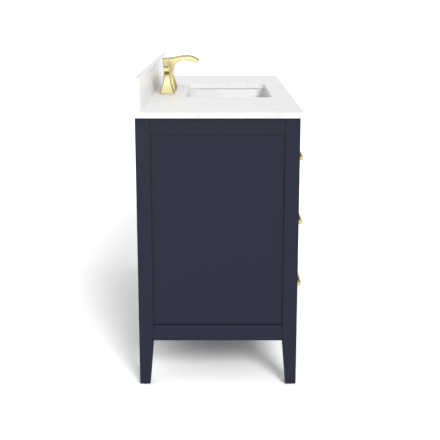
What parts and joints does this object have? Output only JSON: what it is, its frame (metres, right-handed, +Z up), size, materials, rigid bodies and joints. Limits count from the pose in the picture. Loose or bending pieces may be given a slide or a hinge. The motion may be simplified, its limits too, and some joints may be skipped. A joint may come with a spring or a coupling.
{
  "type": "bathroom vanity cabinet",
  "caption": "Painted bathroom vanity on tapered legs: stone top with backsplash, undermount sink and widespread faucet, inset doors between stacks of drawers.",
  "frame": {"origin": "middle of the bounding box at the floor", "axes": "+X right along the front, +Y to the wall, +Z up; the doors and drawers face -Y"},
  "size_m": [1.219, 0.528, 1.0102],
  "materials": {
    "painted_wood": "satin navy paint",
    "plywood": "clear-coated birch plywood",
    "drawer_wood": "clear-coated solid wood",
    "stone_top": "polished white with faint grey veins",
    "sink_ceramic": "white glaze",
    "faucet_gold": "brushed gold",
    "pull_gold": "brushed gold",
    "nut_brass": "plain brass",
    "slide_steel": "zinc plated",
    "clip_steel": "zinc plated",
    "catch_plastic": "moulded",
    "glide_plastic": "moulded nylon"
  },
  "bodies": {
    "cabinet": {"leg_front_left": "painted_wood", "leg_front_right": "painted_wood", "leg_back_left": "painted_wood", "leg_back_right": "painted_wood", "floor_glides": "glide_plastic", "side_rails_left": "painted_wood", "side_rails_right": "painted_wood", "side_panel_left": "painted_wood", "side_panel_right": "painted_wood", "front_rails": "painted_wood", "front_stiles": "painted_wood", "bottom_panel": "painted_wood", "partitions": "plywood", "back_rail": "painted_wood", "back_panel": "painted_wood", "corner_braces": "plywood", "slide_rails": "slide_steel", "hinge_frame_leaves": "pull_gold", "door_catches": "catch_plastic", "countertop": "stone_top", "backsplash": "stone_top", "sink_bowl": "sink_ceramic", "sink_clips": "clip_steel", "drain_body": "faucet_gold", "faucet_valves": "faucet_gold", "faucet_spout": "faucet_gold", "mounting_nuts": "nut_brass"},
    "drawer_left_bottom": {"drawer_left_bottom_front": "painted_wood", "drawer_left_bottom_box": "drawer_wood", "drawer_left_bottom_pull": "pull_gold", "drawer_left_bottom_runners": "slide_steel"},
    "drawer_left_middle": {"drawer_left_middle_front": "painted_wood", "drawer_left_middle_box": "drawer_wood", "drawer_left_middle_pull": "pull_gold", "drawer_left_middle_runners": "slide_steel"},
    "drawer_left_top": {"drawer_left_top_front": "painted_wood", "drawer_left_top_box": "drawer_wood", "drawer_left_top_pull": "pull_gold", "drawer_left_top_runners": "slide_steel"},
    "door_left": {"door_left": "painted_wood", "door_left_pull": "pull_gold", "door_left_hinge_leaves": "pull_gold"},
    "drawer_right_bottom": {"drawer_right_bottom_front": "painted_wood", "drawer_right_bottom_box": "drawer_wood", "drawer_right_bottom_pull": "pull_gold", "drawer_right_bottom_runners": "slide_steel"},
    "drawer_right_middle": {"drawer_right_middle_front": "painted_wood", "drawer_right_middle_box": "drawer_wood", "drawer_right_middle_pull": "pull_gold", "drawer_right_middle_runners": "slide_steel"},
    "drawer_right_top": {"drawer_right_top_front": "painted_wood", "drawer_right_top_box": "drawer_wood", "drawer_right_top_pull": "pull_gold", "drawer_right_top_runners": "slide_steel"},
    "door_right": {"door_right": "painted_wood", "door_right_pull": "pull_gold", "door_right_hinge_leaves": "pull_gold"},
    "handle_hot": {"handle_hot": "faucet_gold"},
    "handle_cold": {"handle_cold": "faucet_gold"},
    "drain_stopper": {"drain_stopper": "faucet_gold"}
  },
  "joints": [
    {"name": "drawer_left_bottom_slide", "type": "slide", "parent": "cabinet", "child": "drawer_left_bottom", "axis": [0, -1, 0], "range_m": [0, 0.33]},
    {"name": "drawer_left_middle_slide", "type": "slide", "parent": "cabinet", "child": "drawer_left_middle", "axis": [0, -1, 0], "range_m": [0, 0.33]},
    {"name": "drawer_left_top_slide", "type": "slide", "parent": "cabinet", "child": "drawer_left_top", "axis": [0, -1, 0], "range_m": [0, 0.33]},
    {"name": "door_left_hinge", "type": "hinge", "parent": "cabinet", "child": "door_left", "pos_m": [-0.24825, -0.2378, 0.503], "axis": [0, 0, -1], "range_deg": [0, 90]},
    {"name": "drawer_right_bottom_slide", "type": "slide", "parent": "cabinet", "child": "drawer_right_bottom", "axis": [0, -1, 0], "range_m": [0, 0.33]},
    {"name": "drawer_right_middle_slide", "type": "slide", "parent": "cabinet", "child": "drawer_right_middle", "axis": [0, -1, 0], "range_m": [0, 0.33]},
    {"name": "drawer_right_top_slide", "type": "slide", "parent": "cabinet", "child": "drawer_right_top", "axis": [0, -1, 0], "range_m": [0, 0.33]},
    {"name": "door_right_hinge", "type": "hinge", "parent": "cabinet", "child": "door_right", "pos_m": [0.24825, -0.2378, 0.503], "axis": [0, 0, 1], "range_deg": [0, 90]},
    {"name": "handle_hot_turn", "type": "hinge", "parent": "cabinet", "child": "handle_hot", "pos_m": [-0.102, 0.1985, 0.9488], "axis": [0, 0, 1], "range_deg": [0, 90]},
    {"name": "handle_cold_turn", "type": "hinge", "parent": "cabinet", "child": "handle_cold", "pos_m": [0.102, 0.1985, 0.9488], "axis": [0, 0, -1], "range_deg": [0, 90]},
    {"name": "drain_stopper_lift", "type": "slide", "parent": "cabinet", "child": "drain_stopper", "axis": [0, 0, 1], "range_m": [0, 0.008]}
  ]
}
